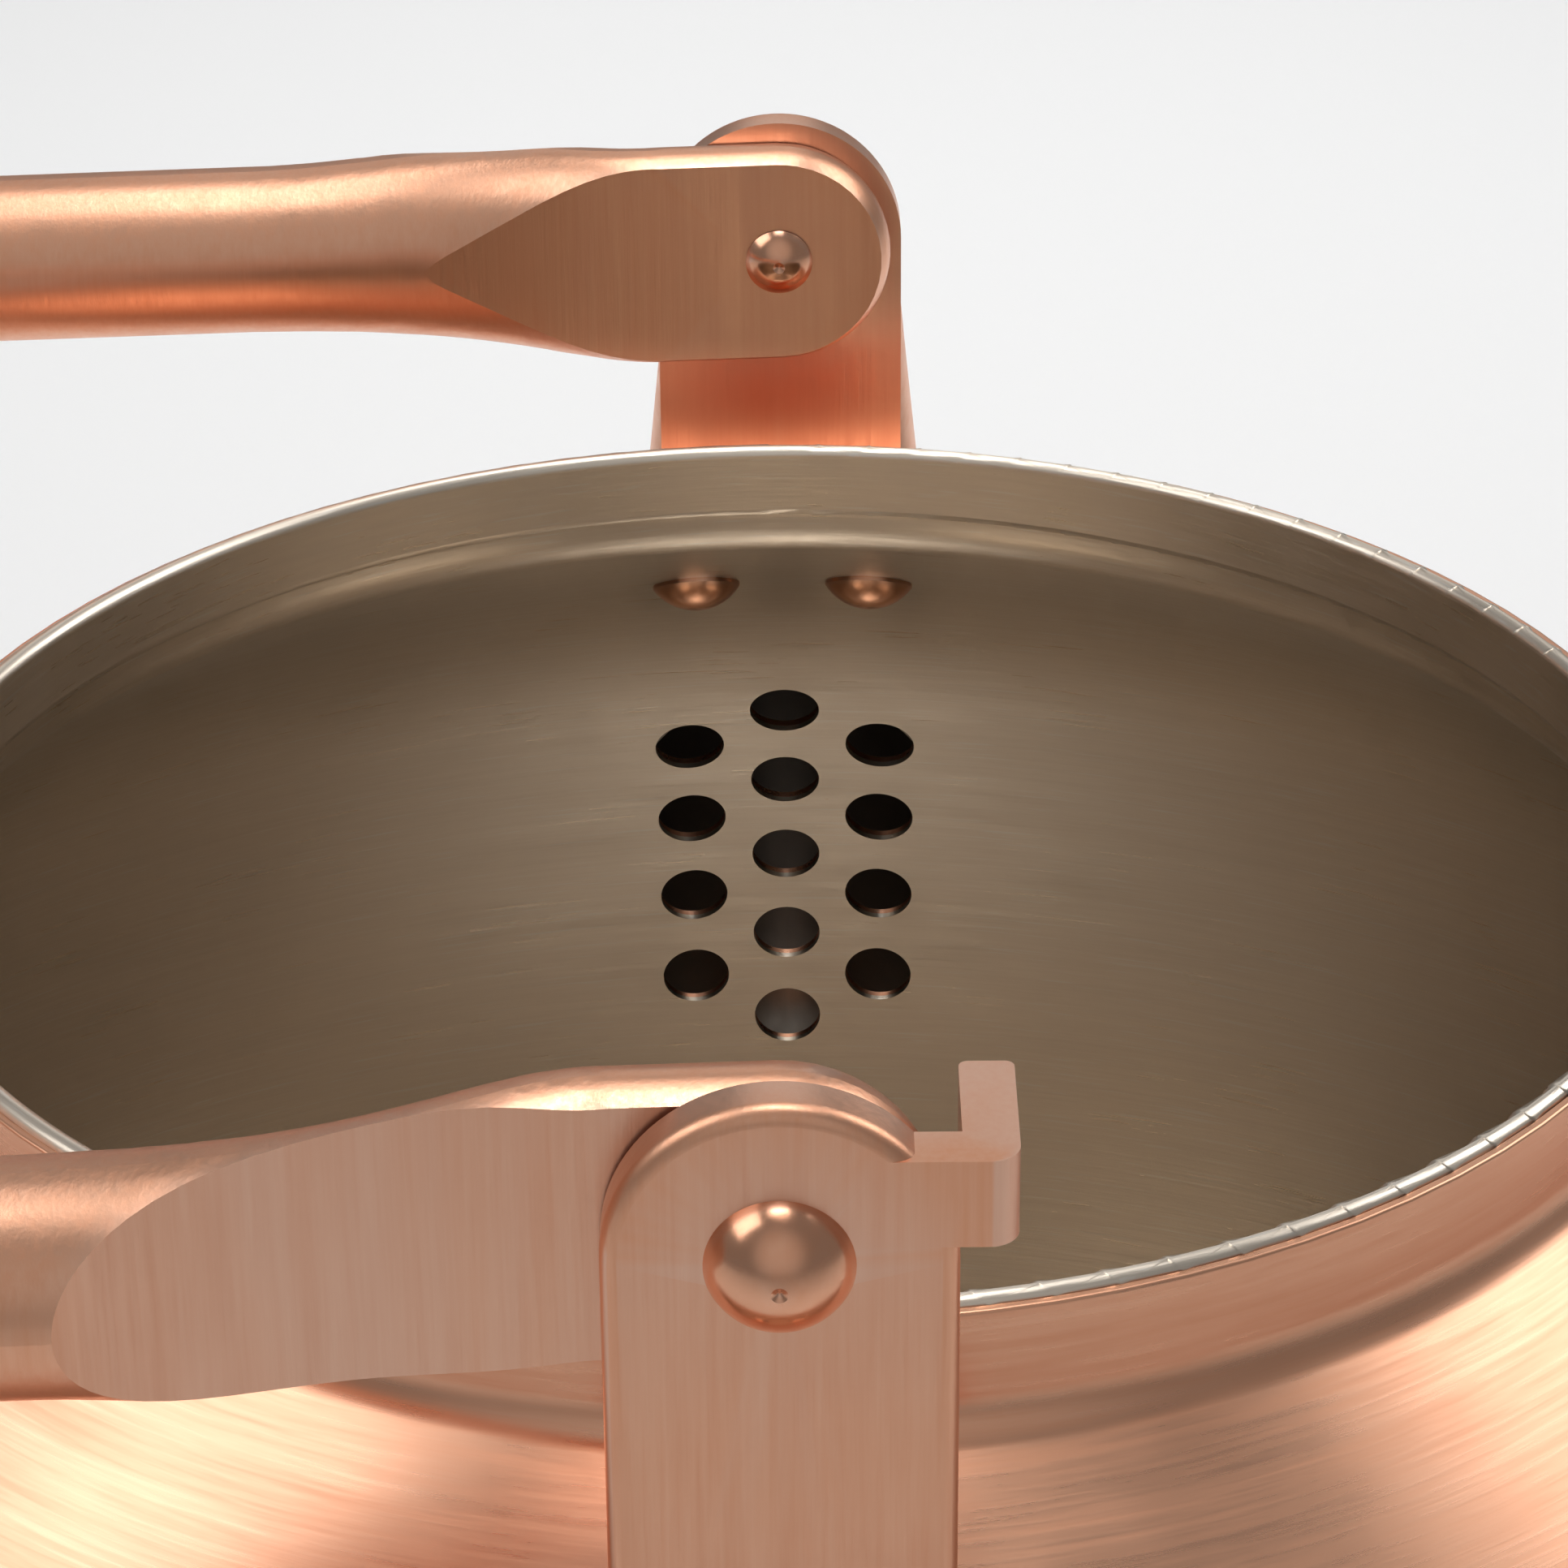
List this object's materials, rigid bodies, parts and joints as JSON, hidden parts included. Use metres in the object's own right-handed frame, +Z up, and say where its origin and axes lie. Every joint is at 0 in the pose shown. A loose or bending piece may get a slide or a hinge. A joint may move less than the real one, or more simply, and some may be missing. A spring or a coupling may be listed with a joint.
{
  "type": "stove-top kettle",
  "caption": "Round copper kettle with a steel liner, an open mouth, a strainer behind the spout and a bail handle that folds to one side.",
  "frame": {"origin": "centre of the base, on the surface the kettle stands on", "axes": "+Z up, +Y towards the spout, and the handle turns about +Y and is stored folded towards -X"},
  "size_m": [0.2157, 0.239, 0.1449],
  "materials": {
    "body_shell": "copper, fine circular brushing",
    "body_liner": "warm grey steel, brushed round the axis",
    "heat_core": "plain",
    "base_cap": "brushed round the axis",
    "spout_shell": "copper, fine brushing",
    "spout_liner": "satin",
    "front_bracket": "copper, satin",
    "rear_bracket": "copper, satin",
    "front_rivets": "copper, polished",
    "rear_rivets": "copper, polished",
    "front_pin": "copper, polished",
    "rear_pin": "copper, polished",
    "handle": "copper, brushed across the flats"
  },
  "bodies": {
    "kettle": {"body_shell": "body_shell", "body_liner": "body_liner", "heat_core": "heat_core", "base_cap": "base_cap", "spout_shell": "spout_shell", "spout_liner": "spout_liner", "front_bracket": "front_bracket", "rear_bracket": "rear_bracket", "front_rivets": "front_rivets", "rear_rivets": "rear_rivets", "front_pin": "front_pin", "rear_pin": "rear_pin"},
    "handle": {"handle": "handle"}
  },
  "joints": [
    {"name": "handle_swing", "type": "hinge", "parent": "kettle", "child": "handle", "pos_m": [0, 0, 0.1362], "axis": [0, 1, 0], "range_deg": [-27, 97]}
  ]
}
